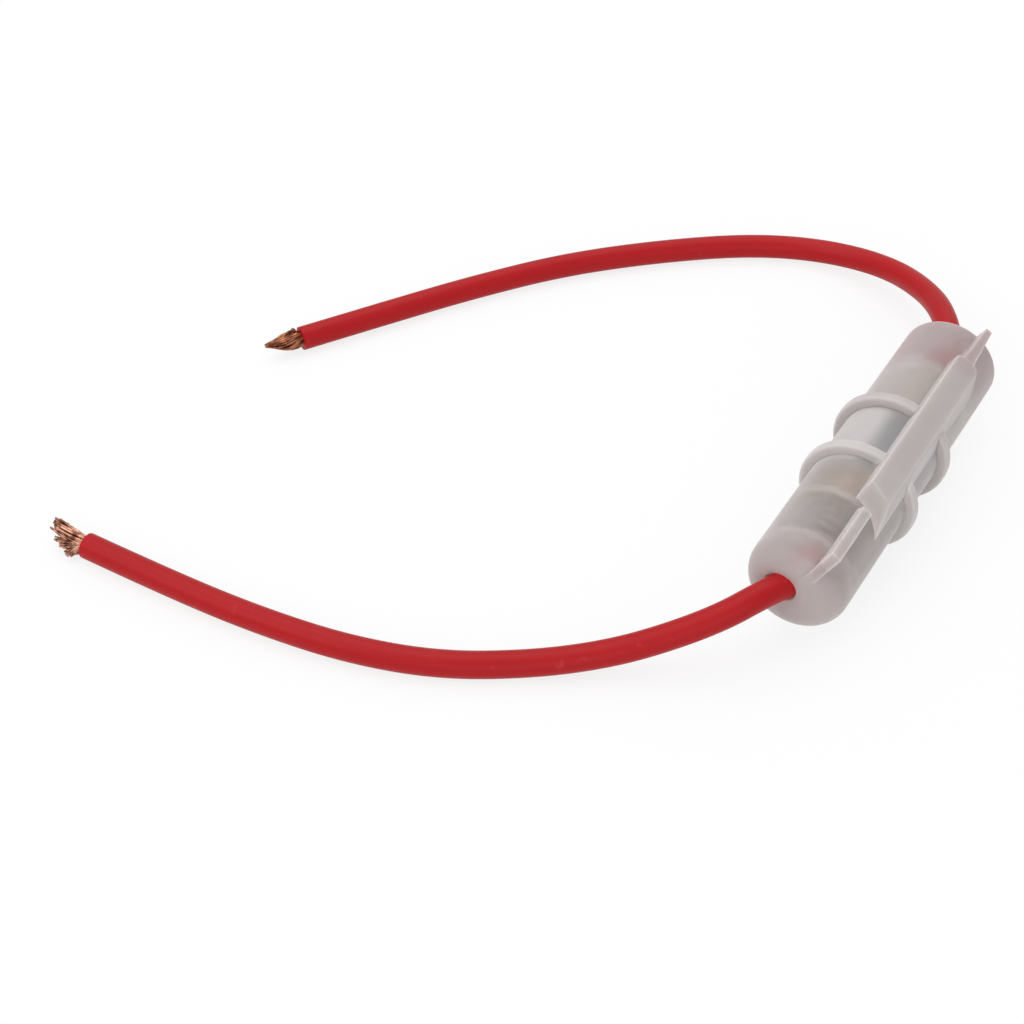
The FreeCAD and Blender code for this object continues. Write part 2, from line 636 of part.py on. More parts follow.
def frayed_end(name, points, length):
    """Bare strands that spread a little from the lead's cut end."""
    end = points[-1]
    ahead = end - points[-2]
    ahead.normalize()
    side = ahead.cross(V(0, 0, 1))
    side.normalize()
    rise = side.cross(ahead)
    strands = []
    for count, root_r, tip_r in STRAND_RINGS:
        for index in range(count):
            place = len(strands)
            reach = length * (1 - STRAND_SHORT * (0.5 + 0.5 * math.sin(2.4 * place)))
            angle = 2 * math.pi * index / count
            stops = []
            for share in (0.0, STRAND_BEND, 1.0):
                turn = angle + math.radians(STRAND_TWIST) * share
                radius = root_r + (tip_r - root_r) * share ** 2
                off = side * (radius * math.cos(turn)) + rise * (radius * math.sin(turn))
                stops.append(end + ahead * (reach * share) + off)
            if root_r == 0:
                strands.append(Part.makeCylinder(S["strand_dia"].value / 2, reach, end, ahead))
                continue
            strands.append(flat_rooted(stops, end, ahead))
    return plain_feature(name, Part.makeCompound(strands))


def flat_rooted(stops, end, ahead):
    """One bent strand, cut flat where it leaves the insulation."""
    first = stops[0] - (stops[1] - stops[0]) * STRAND_ROOT
    bar = round_pipe([first, stops[1], stops[2]], S["strand_dia"].value / 2)
    inside = Part.makeCylinder(LEAD_R.value, (stops[1] - stops[0]).Length, end, -ahead)
    return bar.cut(inside).Solids[0]


def check_and_write(nodes):
    for thing in DOC.Objects:
        if "Invalid" in thing.State or "Error" in thing.State:
            raise RuntimeError(f"{thing.Name} failed: {thing.State}")
    os.makedirs("parts", exist_ok=True)
    for node in nodes:
        shape = node.Shape
        if shape.isNull() or not shape.isValid() or not shape.Solids:
            raise RuntimeError(f"{node.Label} has no valid solid")
        shape.exportStep(f"parts/{node.Label}.step")
        print(f"{node.Label:18s} solids {len(shape.Solids)} volume {shape.Volume:9.3f}")


def main():
    axis = AXIS_HEIGHT.value
    near_core_end = NEAR_LEAD_END - S["core_stripped"]
    far_core_end = FAR_LEAD_END + S["core_stripped"]
    nodes = [near_half(), far_half(), spring()]
    nodes.append(contact("near_contact", NEAR_MOUTH, FUSE_START, CONTACT_BACK, NEAR_BARREL))
    nodes.append(contact("far_contact", FAR_MOUTH, FUSE_END, FAR_SEAT, FAR_BARREL))
    nodes += fuse()
    nodes.append(core("near_conductor", near_core_end, NEAR_BARREL + S["core_in_barrel"]))
    nodes.append(core("far_conductor", FAR_BARREL - S["core_in_barrel"], far_core_end))
    near_bend = V(along(NEAR_BEND).value, 0, axis)
    far_bend = V(along(BODY_LENGTH - S["far_lead_bend"]).value, 0, axis)
    near, near_points = lead("near_lead", V(along(NEAR_LEAD_END).value, 0, axis), near_bend, NEAR_ROUTE)
    far, far_points = lead("far_lead", V(along(FAR_LEAD_END).value, 0, axis), far_bend, FAR_ROUTE)
    nodes += [near, far]
    nodes.append(frayed_end("near_strands", near_points, S["near_bare"].value))
    nodes.append(frayed_end("far_strands", far_points, S["far_bare"].value))
    DOC.recompute()
    check_and_write(nodes)


main()
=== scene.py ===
"""Looks of the inline fuse holder: two milky moulded halves over a glass fuse, with red leads.

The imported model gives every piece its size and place. This script replaces the two shells, the
spring, the leads and their frayed ends by finer meshes in the same places, gives each piece its
finish, and sets up the table, the lamps and the camera. Everything is in metres, in the frame of
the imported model: +X from the near lead to the far lead, +Y to the side that both leads curve to.
"""
import json
import logging
import math
import random
from collections.abc import Callable
from dataclasses import dataclass
from enum import Enum

import bpy
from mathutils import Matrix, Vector

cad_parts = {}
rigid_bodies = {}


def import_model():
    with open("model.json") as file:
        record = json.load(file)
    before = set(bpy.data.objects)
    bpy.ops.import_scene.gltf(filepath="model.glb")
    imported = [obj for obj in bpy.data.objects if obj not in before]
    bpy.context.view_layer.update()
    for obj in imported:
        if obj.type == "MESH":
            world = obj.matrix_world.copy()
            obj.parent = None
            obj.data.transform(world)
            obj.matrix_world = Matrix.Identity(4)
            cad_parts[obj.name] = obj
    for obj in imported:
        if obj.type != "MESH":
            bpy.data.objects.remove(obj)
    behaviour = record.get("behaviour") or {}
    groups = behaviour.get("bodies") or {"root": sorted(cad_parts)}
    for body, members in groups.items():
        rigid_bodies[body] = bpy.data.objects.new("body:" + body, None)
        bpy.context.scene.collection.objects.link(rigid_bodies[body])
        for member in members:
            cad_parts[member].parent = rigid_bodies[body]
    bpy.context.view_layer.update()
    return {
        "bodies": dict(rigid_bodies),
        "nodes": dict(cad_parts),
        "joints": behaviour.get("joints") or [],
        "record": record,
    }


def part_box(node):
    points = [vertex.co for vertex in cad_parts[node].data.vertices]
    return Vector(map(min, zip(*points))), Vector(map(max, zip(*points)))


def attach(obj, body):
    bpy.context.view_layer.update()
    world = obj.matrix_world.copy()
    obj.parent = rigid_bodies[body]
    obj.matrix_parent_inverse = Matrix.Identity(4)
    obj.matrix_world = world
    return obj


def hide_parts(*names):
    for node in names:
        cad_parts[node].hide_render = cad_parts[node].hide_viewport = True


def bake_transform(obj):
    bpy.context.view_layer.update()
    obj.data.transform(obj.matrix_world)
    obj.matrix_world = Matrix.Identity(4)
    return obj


LOG = logging.getLogger("fuse_holder")
MM = 0.001

NEAR_HALF = "near_half"
FAR_HALF = "far_half"

WHITE = (1.0, 1.0, 1.0)
BLACK = (0.0, 0.0, 0.0)
GOLDEN_ANGLE = 2.399963
CURVE_ORDER = 3
CURVE_STEPS = 12
WELD_REACH = 0.000001
SMOOTH_ANGLE = math.radians(35)


class Ray(Enum):
    """Kinds of light ray that a surface can treat apart."""

    CAMERA = "Is Camera Ray"
    SHADOW = "Is Shadow Ray"
    DIFFUSE = "Is Diffuse Ray"
    GLOSSY = "Is Glossy Ray"
    TRANSMISSION = "Is Transmission Ray"


class Grain(Enum):
    """How a noise pattern lies on a piece, as scale factors of its X, Y and Z."""

    EVEN = (1.0, 1.0, 1.0)
    ALONG = (0.12, 1.0, 1.0)


class Value:
    """A shader socket that Python's operators turn into Math nodes."""

    def __init__(self, bench: "Bench", socket: bpy.types.NodeSocket) -> None:
        """Wrap one output socket of a bench's node tree."""
        self.bench = bench
        self.socket = socket

    def _math(self, operation: str, first: "Value | float", second: "Value | float") -> "Value":
        """Add a Math node on two values."""
        return self.bench.node("ShaderNodeMath", {"operation": operation}, {0: first, 1: second})

    def __add__(self, other: "Value | float") -> "Value":
        """Sum."""
        return self._math("ADD", self, other)

    __radd__ = __add__

    def __sub__(self, other: "Value | float") -> "Value":
        """Difference."""
        return self._math("SUBTRACT", self, other)

    def __rsub__(self, other: "Value | float") -> "Value":
        """Difference from a number."""
        return self._math("SUBTRACT", other, self)

    def __mul__(self, other: "Value | float") -> "Value":
        """Product."""
        return self._math("MULTIPLY", self, other)

    __rmul__ = __mul__

    def __pow__(self, other: "Value | float") -> "Value":
        """Power."""
        return self._math("POWER", self, other)

    def larger(self, other: "Value | float") -> "Value":
        """The larger of two values."""
        return self._math("MAXIMUM", self, other)


class Bench:
    """Builds the node tree of one material or of the world."""

    def __init__(self, owner: bpy.types.Material | bpy.types.World) -> None:
        """Start with an output node alone.

        Args:
            owner: The new material or world.
        """
        self.owner = owner
        owner.use_nodes = True
        self.tree = owner.node_tree
        self.tree.nodes.clear()
        kind = "World" if isinstance(owner, bpy.types.World) else "Material"
        self.output = self.tree.nodes.new(f"ShaderNodeOutput{kind}")

    @classmethod
    def material(cls, name: str) -> "Bench":
        """Open a bench for a new material of a name."""
        return cls(bpy.data.materials.new(name))

    def node(self, kind: str, settings: dict | None = None, inputs: dict | None = None,
             out: str | int = 0) -> Value:
        """Add a node, set its options and fill its sockets.

        Args:
            kind: The node's type.
            settings: Options of the node, set first.
            inputs: Socket name or number to a value, a Value or a colour.
            out: The output that is returned.

        Returns:
            The chosen output as a Value.
        """
        made = self.tree.nodes.new(kind)
        for key, value in (settings or {}).items():
            setattr(made, key, value)
        for key, value in (inputs or {}).items():
            socket = made.inputs[key]
            if isinstance(value, Value):
                self.tree.links.new(value.socket, socket)
            else:
                socket.default_value = value
        return Value(self, made.outputs[out])

    def ramp(self, factor: Value, stops: list[tuple[float, tuple]]) -> Value:
        """Map a value through a colour ramp.

        Args:
            factor: The value.
            stops: Place from 0 to 1 and its colour.

        Returns:
            The ramp's colour.
        """
        made = self.tree.nodes.new("ShaderNodeValToRGB")
        elements = made.color_ramp.elements
        while len(elements) < len(stops):
            elements.new(1.0)
        for element, (place, colour) in zip(elements, stops):
            element.position = place
            element.color = (*colour, 1.0)
        self.tree.links.new(factor.socket, made.inputs[0])
        return Value(self, made.outputs[0])

    def smooth(self, value: Value, span: tuple, shares: tuple = (0.0, 1.0)) -> Value:
        """Lead smoothly from one share to another while a value crosses a span.

        Args:
            value: The value.
            span: Where the change starts and where it ends.
            shares: The share before the span and the one after it.

        Returns:
            The share.
        """
        return self.node("ShaderNodeMapRange", {"interpolation_type": "SMOOTHSTEP"}, {
            "Value": value, "From Min": span[0], "From Max": span[1],
            "To Min": shares[0], "To Max": shares[1]})

    def place(self, grain: Grain = Grain.EVEN) -> Value:
        """Object coordinates, stretched by a grain.

        Args:
            grain: How a pattern at these coordinates is stretched.

        Returns:
            The coordinates.
        """
        where = self.node("ShaderNodeTexCoord", out="Object")
        if grain is Grain.EVEN:
            return where
        return self.node("ShaderNodeMapping", inputs={"Vector": where, "Scale": grain.value})

    def coordinate(self, axis: str) -> Value:
        """One of the object coordinates X, Y and Z."""
        return self.node("ShaderNodeSeparateXYZ", inputs={0: self.place()}, out=axis)

    def noise(self, size: float, detail: float = 2.0, grain: Grain = Grain.EVEN) -> Value:
        """Noise whose features are about one size.

        Args:
            size: Feature size in metres.
            detail: Octaves of finer noise.
            grain: How it is stretched.

        Returns:
            The noise, about 0.5 on average.
        """
        return self.node("ShaderNodeTexNoise", inputs={
            "Vector": self.place(grain), "Scale": 1.0 / size, "Detail": detail})

    def patches(self, size: float, start: float, full: float) -> Value:
        """Patches of noise.

        Args:
            size: Their size in metres.
            start: Level of the noise up to which they are 0.
            full: Level from which they are 1.

        Returns:
            The patches.
        """
        return self.ramp(self.noise(size, detail=4.0), [(start, BLACK), (full, WHITE)])

    def around(self, mean: float, swing: float, pattern: Value) -> Value:
        """A number that swings about its mean with a pattern from 0 to 1."""
        return mean - swing / 2 + swing * pattern

    def blend(self, factor: Value | float, first: tuple | Value, second: tuple | Value) -> Value:
        """Mix two colours.

        Args:
            factor: Share of the second colour.
            first: The first colour.
            second: The second colour.

        Returns:
            The mixed colour.
        """
        pair = [item if isinstance(item, Value) else (*item, 1.0) for item in (first, second)]
        return self.node("ShaderNodeMix", {"data_type": "RGBA"},
                         {0: factor, 6: pair[0], 7: pair[1]}, out=2)

    def bump(self, height: Value, distance: float) -> Value:
        """Normals of a height pattern whose full swing is a distance in metres."""
        return self.node("ShaderNodeBump", inputs={
            "Height": height, "Distance": distance, "Strength": 1.0})

    def ray(self, kind: Ray) -> Value:
        """1 for light rays of a kind, else 0."""
        return self.node("ShaderNodeLightPath", out=kind.value)

    def principled(self, inputs: dict) -> Value:
        """Add a Principled shader."""
        return self.node("ShaderNodeBsdfPrincipled", inputs=inputs)

    def mixed(self, factor: Value, first: Value, second: Value) -> Value:
        """Mix two shaders by a factor."""
        return self.node("ShaderNodeMixShader", inputs={0: factor, 1: first, 2: second})

    def lets_lamps_through(self, shader: Value, tint: tuple) -> Value:
        """Let the light of lamps and of the room pass a see-through wall, tinted at each face.

        Args:
            shader: The wall's shader for all other rays.
            tint: The share of light that one face lets through.

        Returns:
            The mixed shader.
        """
        clear = self.node("ShaderNodeBsdfTransparent", inputs={"Color": (*tint, 1.0)})
        return self.mixed(self.ray(Ray.SHADOW).larger(self.ray(Ray.DIFFUSE)), shader, clear)

    def finish(self, shader: Value) -> bpy.types.Material | bpy.types.World:
        """Link the surface and return the material or the world."""
        self.tree.links.new(shader.socket, self.output.inputs["Surface"])
        return self.owner


@dataclass(frozen=True)
class MilkyPlastic:
    """Natural polypropylene: matt and milky, with its load showing dimly through the tube's wall.

    A row of pairs gives a share at places along the holder, in metres.

    Attributes:
        milk: Colour of the matt share.
        clouded: The same where it is cloudier.
        blush: Colour of the milk where a red lead shines through it.
        blushes: Share of blush along the holder.
        double: Colour of the milk where the spigot lies inside the socket.
        doubles: Share of double along the holder.
        double_radius: Distance from the axis up to which it shows: on the collars, not the key.
        double_fade: Factor on that distance at which it has faded out.
        spread: How far light travels inside the milk.
        spread_tint: The same for red, green and blue light, as shares.
        clear: Tint of the see-through share.
        painted_shade: Painted shading: the same tint, darker and bluer, over the fuse glass and
            over the far lead.
        painted_shade_shares: Share of that painted shading along the holder.
        zones: See-through share of the tube's wall along the holder, seen straight on.
        side_fade: How fast that share fades where the wall turns away.
        thick_share: Factor on it where the wall is thick: on the collars, the key and the fins.
        thin_radius: Distance from the holder's axis up to which the wall is thin.
        thick_radius: Distance from which it is thick.
        flanks: How milky the wall is on the side of the leads, along the holder.
        flank_start: Side at which that milky flank starts.
        flank_end: Side from which it is milky all over.
        face_tint: Share of a lamp's light that one face lets through.
        bore_haze: How milky the faces of the bores and the socket are.
        spigot_haze: The same on the spigot, which shows when the halves are apart.
        spigot_start: Place along the holder where the spigot starts.
        spigot_edge: How far to each side of that place the haze changes.
        axis_height: Height of the holder's axis.
        roughness: Mean roughness of the skin.
        rough_swing: Swing of that roughness.
        bore_roughness: Roughness of the bores.
        gloss: Specular level of the skin.
        bore_gloss: Specular level of the bores.
        ior: Index of refraction.
        cloud_size: Size of the clouds in the milk.
        pit_size: Size of the skin's fine pits.
        pit_depth: Their depth.
    """

    milk: tuple = (0.505, 0.468, 0.458)
    clouded: tuple = (0.462, 0.421, 0.41)
    blush: tuple = (0.44, 0.355, 0.357)
    blushes: tuple = ((-0.0202, 0.35), (-0.0165, 0.25), (-0.0150, 0.0),
                      (0.0110, 0.0), (0.0140, 0.8), (0.0202, 0.9))
    double: tuple = (0.525, 0.496, 0.49)
    doubles: tuple = ((-0.0072, 0.0), (-0.0060, 1.0), (0.0034, 1.0), (0.0046, 0.0))
    double_radius: float = 0.00625
    double_fade: float = 1.04
    spread: float = 0.0014
    spread_tint: tuple = (1.0, 0.97, 0.95)
    clear: tuple = (0.885, 0.83, 0.82)
    # Painted shading: the see-through tint turns darker and bluer over the fuse glass and over the
    # far lead.
    painted_shade: tuple = (0.58, 0.65, 0.72)
    painted_shade_shares: tuple = ((-0.0052, 0.0), (-0.0042, 0.8), (-0.0010, 1.0), (0.0024, 1.0),
                     (0.0040, 0.0), (0.0125, 0.0), (0.0145, 0.8), (0.0202, 0.6))
    zones: tuple = ((-0.0202, 0.10), (-0.0190, 0.40), (-0.0176, 0.60), (-0.0168, 0.24),
                    (-0.0160, 0.95), (-0.0110, 0.95), (-0.0102, 0.50), (-0.0094, 0.95),
                    (-0.0052, 0.90), (-0.0038, 0.65), (-0.0010, 0.95), (0.0024, 1.0),
                    (0.0052, 0.95), (0.0064, 0.80), (0.0118, 0.95), (0.0124, 0.55),
                    (0.0132, 1.0), (0.0180, 0.90), (0.0202, 0.40))
    side_fade: float = 1.2
    thick_share: float = 0.10
    thin_radius: float = 0.00517
    thick_radius: float = 0.00527
    flanks: tuple = ((-0.0056, 0.0), (-0.0046, 0.85), (0.0030, 0.85), (0.0042, 0.15))
    flank_start: float = -0.0008
    flank_end: float = 0.0012
    face_tint: tuple = (0.90, 0.885, 0.875)
    bore_haze: float = 0.14
    spigot_haze: float = 0.30
    spigot_start: float = -0.0048
    spigot_edge: float = 0.0002
    axis_height: float = 0.0062
    roughness: float = 0.38
    rough_swing: float = 0.08
    bore_roughness: float = 0.6
    gloss: float = 0.2
    bore_gloss: float = 0.05
    ior: float = 1.38
    cloud_size: float = 0.006
    pit_size: float = 0.00035
    pit_depth: float = 0.000008

    def outside(self) -> bpy.types.Material:
        """Build the milky skin.

        Returns:
            The material.
        """
        bench = Bench.material("milky_plastic")
        pits = bench.bump(bench.noise(self.pit_size), self.pit_depth)
        rough = bench.around(self.roughness, self.rough_swing, bench.noise(self.cloud_size / 3))
        matt = bench.principled({
            "Base Color": self.matt_colour(bench), "Roughness": rough,
            "Specular IOR Level": self.gloss, "Normal": pits, "Subsurface Weight": 1.0,
            "Subsurface Radius": self.spread_tint, "Subsurface Scale": self.spread,
        })
        # The see-through share carries painted shading, darker and bluer over the fuse glass and
        # the far lead.
        see_through = bench.principled({
            "Base Color": bench.blend(self.along(bench, self.painted_shade_shares), self.clear, self.painted_shade),
            "Roughness": rough, "IOR": self.ior, "Specular IOR Level": self.gloss,
            "Transmission Weight": 1.0, "Normal": pits,
        })
        facing = bench.node("ShaderNodeLayerWeight", inputs={"Blend": 0.5}, out="Facing")
        share = self.wall_share(bench) * (1.0 - facing) ** self.side_fade
        wall = bench.mixed(share, matt, see_through)
        return bench.finish(bench.lets_lamps_through(wall, self.face_tint))

    def clouds(self, bench: Bench) -> Value:
        """Milk with cloudier patches."""
        return bench.blend(bench.noise(self.cloud_size, detail=3.0), self.milk, self.clouded)

    def matt_colour(self, bench: Bench) -> Value:
        """Milk that blushes over the leads and is paler where the wall is double.

        Args:
            bench: The skin's bench.

        Returns:
            The colour.
        """
        milk = bench.blend(self.along(bench, self.blushes), self.clouds(bench), self.blush)
        fade = (self.double_radius, self.double_radius * self.double_fade)
        near_axis = bench.smooth(self.reach(bench), fade, (1.0, 0.0))
        return bench.blend(self.along(bench, self.doubles) * near_axis, milk, self.double)

    def reach(self, bench: Bench) -> Value:
        """Distance from the holder's axis.

        Args:
            bench: The skin's bench.

        Returns:
            The distance in metres.
        """
        across = bench.node("ShaderNodeMapping", inputs={
            "Vector": bench.place(), "Location": (0.0, 0.0, -self.axis_height),
            "Scale": (0.0, 1.0, 1.0)})
        return bench.node("ShaderNodeVectorMath", {"operation": "LENGTH"}, {0: across},
                          out="Value")

    def wall_share(self, bench: Bench) -> Value:
        """See-through share of the skin, by place along the holder, side and reach.

        Args:
            bench: The skin's bench.

        Returns:
            The share, seen straight on.
        """
        thin = bench.smooth(self.reach(bench), (self.thin_radius, self.thick_radius),
                            (1.0, self.thick_share))
        flank = bench.smooth(bench.coordinate("Y"), (self.flank_start, self.flank_end))
        milky = flank * self.along(bench, self.flanks)
        return thin * self.along(bench, self.zones) * (1.0 - milky)

    def along(self, bench: Bench, shares: tuple) -> Value:
        """A share that changes along the holder.

        Args:
            bench: The skin's bench.
            shares: Pairs of a place in metres and the share there.

        Returns:
            The share.
        """
        start, end = shares[0][0], shares[-1][0]
        stops = [((place - start) / (end - start), (share, share, share))
                 for place, share in shares]
        return bench.ramp((bench.coordinate("X") - start) * (1.0 / (end - start)), stops)

    def inside(self, name: str, spigot: bool) -> bpy.types.Material:
        """Build the faces of the bores, the socket and the spigot, as a faint haze.

        Args:
            name: The material's name.
            spigot: Whether the half has the spigot.

        Returns:
            The material.
        """
        bench = Bench.material(name)
        alpha = bench.node("ShaderNodeMapRange", inputs={
            "Value": bench.coordinate("X"),
            "From Min": self.spigot_start - self.spigot_edge,
            "From Max": self.spigot_start + self.spigot_edge,
            "To Min": self.bore_haze,
            "To Max": self.spigot_haze if spigot else self.bore_haze})
        return bench.finish(bench.principled({
            "Base Color": self.clouds(bench), "Roughness": self.bore_roughness,
            "Specular IOR Level": self.bore_gloss, "Alpha": alpha,
        }))


@dataclass(frozen=True)
class Insulation:
    """Satin red PVC with faint marks of drawing and handling.

    Attributes:
        colour: The red.
        worn: The same in its darker patches.
        worn_size: Size of those patches.
        scuff: Colour of pale scuffs.
        scuff_size: Their size.
        scuff_from: Level of the noise at which they start.
        scuff_to: Level at which they are full.
        scuff_share: How strong they are.
        gloss: Specular level.
        roughness: Mean roughness.
        rough_swing: Swing of that roughness.
        rough_size: Size of its patches.
        wave_size: Size of the skin's waves.
        wave_depth: Their depth.
        grain_size: Size of the fine grain on the waves.
        grain_share: Its depth, as a share of theirs.
    """

    colour: tuple = (0.43, 0.008, 0.011)
    worn: tuple = (0.37, 0.007, 0.010)
    worn_size: float = 0.009
    scuff: tuple = (0.52, 0.05, 0.05)
    scuff_size: float = 0.0016
    scuff_from: float = 0.66
    scuff_to: float = 0.74
    scuff_share: float = 0.35
    gloss: float = 0.17
    roughness: float = 0.42
    rough_swing: float = 0.12
    rough_size: float = 0.0025
    wave_size: float = 0.004
    wave_depth: float = 0.00002
    grain_size: float = 0.0006
    grain_share: float = 0.4

    def material(self) -> bpy.types.Material:
        """Build the insulation.

        Returns:
            The material.
        """
        bench = Bench.material("red_insulation")
        worn = bench.noise(self.worn_size, detail=3.0)
        scuffs = bench.patches(self.scuff_size, self.scuff_from, self.scuff_to)
        colour = bench.blend(scuffs * self.scuff_share,
                             bench.blend(worn, self.colour, self.worn), self.scuff)
        rough = bench.around(self.roughness, self.rough_swing,
                             bench.noise(self.rough_size, detail=3.0))
        grain = bench.noise(self.grain_size) * self.grain_share
        skin = grain + bench.noise(self.wave_size, detail=1.0)
        return bench.finish(bench.principled({
            "Base Color": colour, "Roughness": rough, "Specular IOR Level": self.gloss,
            "Normal": bench.bump(skin, self.wave_depth),
        }))


@dataclass(frozen=True)
class Metal:
    """A metal with clouded colour and fine marks.

    Attributes:
        name: The material's name.
        colour: The clean metal.
        dull: The same where it has tarnished.
        roughness: Middling roughness.
        tarnish_size: Size of its tarnish patches.
        tarnish_from: Level of the noise at which tarnish starts.
        tarnish_to: Level at which it is full.
        scratch_depth: Depth of its fine marks.
        scratch_size: Their width.
        polish: How much smoother it is where it is clean.
        tarnish_rise: How much rougher tarnish is than clean metal.
    """

    name: str
    colour: tuple
    dull: tuple
    roughness: float
    tarnish_size: float
    tarnish_from: float = 0.42
    tarnish_to: float = 0.68
    scratch_depth: float = 0.000004
    scratch_size: float = 0.0003
    polish: float = 0.05
    tarnish_rise: float = 0.12

    def material(self) -> bpy.types.Material:
        """Build the metal.

        Returns:
            The material.
        """
        bench = Bench.material(self.name)
        tarnish = bench.patches(self.tarnish_size, self.tarnish_from, self.tarnish_to)
        marks = bench.noise(self.scratch_size, detail=3.0, grain=Grain.ALONG)
        return bench.finish(bench.principled({
            "Base Color": bench.blend(tarnish, self.colour, self.dull), "Metallic": 1.0,
            "Roughness": self.roughness - self.polish + self.tarnish_rise * tarnish,
            "Normal": bench.bump(marks, self.scratch_depth),
        }))


@dataclass(frozen=True)
class FuseGlass:
    """Thin glass with a blue grey tint.

    Attributes:
        tint: Its tint.
        ior: Index of refraction.
        roughness: Roughness where it is cleanest.
        haze_rise: How much rougher its haze makes it.
        haze_size: Size of that haze.
    """

    tint: tuple = (0.46, 0.54, 0.62)
    ior: float = 1.47
    roughness: float = 0.02
    haze_rise: float = 0.03
    haze_size: float = 0.004

    def material(self) -> bpy.types.Material:
        """Build the glass.

        Returns:
            The material.
        """
        bench = Bench.material("fuse_glass_clear")
        glass = bench.principled({
            "Base Color": (*self.tint, 1.0), "Transmission Weight": 1.0, "IOR": self.ior,
            "Roughness": self.roughness + self.haze_rise * bench.noise(self.haze_size),
        })
        return bench.finish(bench.lets_lamps_through(glass, self.tint))


BRASS = Metal("drawn_brass", (0.56, 0.46, 0.34), (0.42, 0.34, 0.25), 0.62, 0.0018)
NICKEL = Metal("nickel_plate", (0.66, 0.64, 0.60), (0.50, 0.47, 0.43), 0.24, 0.0022)
STEEL = Metal("spring_steel", (0.42, 0.40, 0.38), (0.25, 0.23, 0.22), 0.30, 0.0012)
TIN = Metal("tin_solder", (0.60, 0.60, 0.58), (0.42, 0.42, 0.41), 0.42, 0.0006,
            scratch_depth=0.00003)
COPPER = Metal("bare_copper", (0.62, 0.33, 0.23), (0.18, 0.07, 0.04), 0.34, 0.0007,
               tarnish_from=0.40, tarnish_to=0.62, scratch_depth=0.000006)
AGED_COPPER = Metal("aged_copper", (0.60, 0.25, 0.13), (0.17, 0.055, 0.03), 0.40, 0.0009,
                    tarnish_from=0.38, tarnish_to=0.62, scratch_depth=0.000006)


def deselect_all() -> None:
    """Leave no object selected."""
    for item in list(bpy.context.selected_objects):
        item.select_set(False)


def activate(piece: bpy.types.Object) -> None:
    """Make a piece the only selected and the active one.

    Args:
        piece: The piece.
    """
    deselect_all()
    piece.select_set(True)
    bpy.context.view_layer.objects.active = piece


def apply_modifier(piece: bpy.types.Object, kind: str, **settings: object) -> None:
    """Add a modifier with its settings and apply it.

    Args:
        piece: The mesh object.
        kind: The modifier's type.
        **settings: The modifier's options.
    """
    activate(piece)
    made = piece.modifiers.new(kind.lower(), kind)
    for key, value in settings.items():
        setattr(made, key, value)
    bpy.ops.object.modifier_apply(modifier=made.name)


def dress(piece: bpy.types.Object, material: bpy.types.Material, slot: str) -> None:
    """Give a piece one material, and report it with the record's slot that it stands for.

    Args:
        piece: The mesh object.
        material: Its material.
        slot: The slot's name.
    """
    piece.data.materials.clear()
    piece.data.materials.append(material)
    LOG.info("%s: %s, %d faces", piece.name, slot, len(piece.data.polygons))


def spline_curve(name: str, points: list[tuple], radius: float = 0.0,
                 sides: int = 8) -> bpy.types.Object:
    """Make a smooth NURBS curve.

    Args:
        name: The object's name.
        points: Control points in metres.
        radius: Bevel radius, or 0 for a bare line.
        sides: Bevel resolution.

    Returns:
        The curve object, which starts and ends at its first and last points.
    """
    data = bpy.data.curves.new(name, "CURVE")
    data.dimensions = "3D"
    data.resolution_u = CURVE_STEPS
    spline = data.splines.new("NURBS")
    spline.points.add(len(points) - 1)
    for point, place in zip(spline.points, points):
        point.co = (*place, 1.0)
    spline.order_u = CURVE_ORDER
    spline.use_endpoint_u = True
    data.bevel_depth = radius
    data.bevel_resolution = sides
    data.use_fill_caps = radius > 0
    made = bpy.data.objects.new(name, data)
    bpy.context.scene.collection.objects.link(made)
    return made


def line_points(curve: bpy.types.Object) -> list[Vector]:
    """Points of a bare curve's own line.

    Args:
        curve: The curve object, without a bevel.

    Returns:
        The points in order.
    """
    shaped = curve.evaluated_get(bpy.context.evaluated_depsgraph_get())
    mesh = bpy.data.meshes.new_from_object(shaped)
    points = [vertex.co.copy() for vertex in mesh.vertices]
    bpy.data.meshes.remove(mesh)
    return points


def as_mesh(curve: bpy.types.Object) -> bpy.types.Object:
    """Turn a bevelled curve into a welded mesh object of the same name.

    Args:
        curve: The curve object, which is used up.

    Returns:
        The mesh object.
    """
    activate(curve)
    bpy.ops.object.convert(target="MESH")
    made = bpy.context.view_layer.objects.active
    apply_modifier(made, "WELD", merge_threshold=WELD_REACH)
    return made


def select_faces(piece: bpy.types.Object,
                 test: Callable[[bpy.types.MeshPolygon], bool]) -> None:
    """Select only the faces of a piece that pass a test.

    Args:
        piece: The mesh object, in object mode.
        test: Says of a face whether it is wanted.
    """
    for item in (*piece.data.vertices, *piece.data.edges):
        item.select = False
    for face in piece.data.polygons:
        face.select = bool(test(face))


@dataclass(frozen=True)
class CutEnd:
    """The cut end of a lead.

    Attributes:
        place: Middle of the cut.
        ahead: Direction in which the lead points.
        side: Level direction across it.
        rise: The other direction across it.
    """

    place: Vector
    ahead: Vector
    side: Vector
    rise: Vector

    @classmethod
    def of(cls, path: list[Vector]) -> "CutEnd":
        """The end of a lead.

        Args:
            path: Points of its middle line, in metres.

        Returns:
            Its cut end.
        """
        ahead = (path[-1] - path[-2]).normalized()
        side = ahead.cross(Vector((0, 0, 1))).normalized()
        return cls(path[-1], ahead, side, side.cross(ahead))


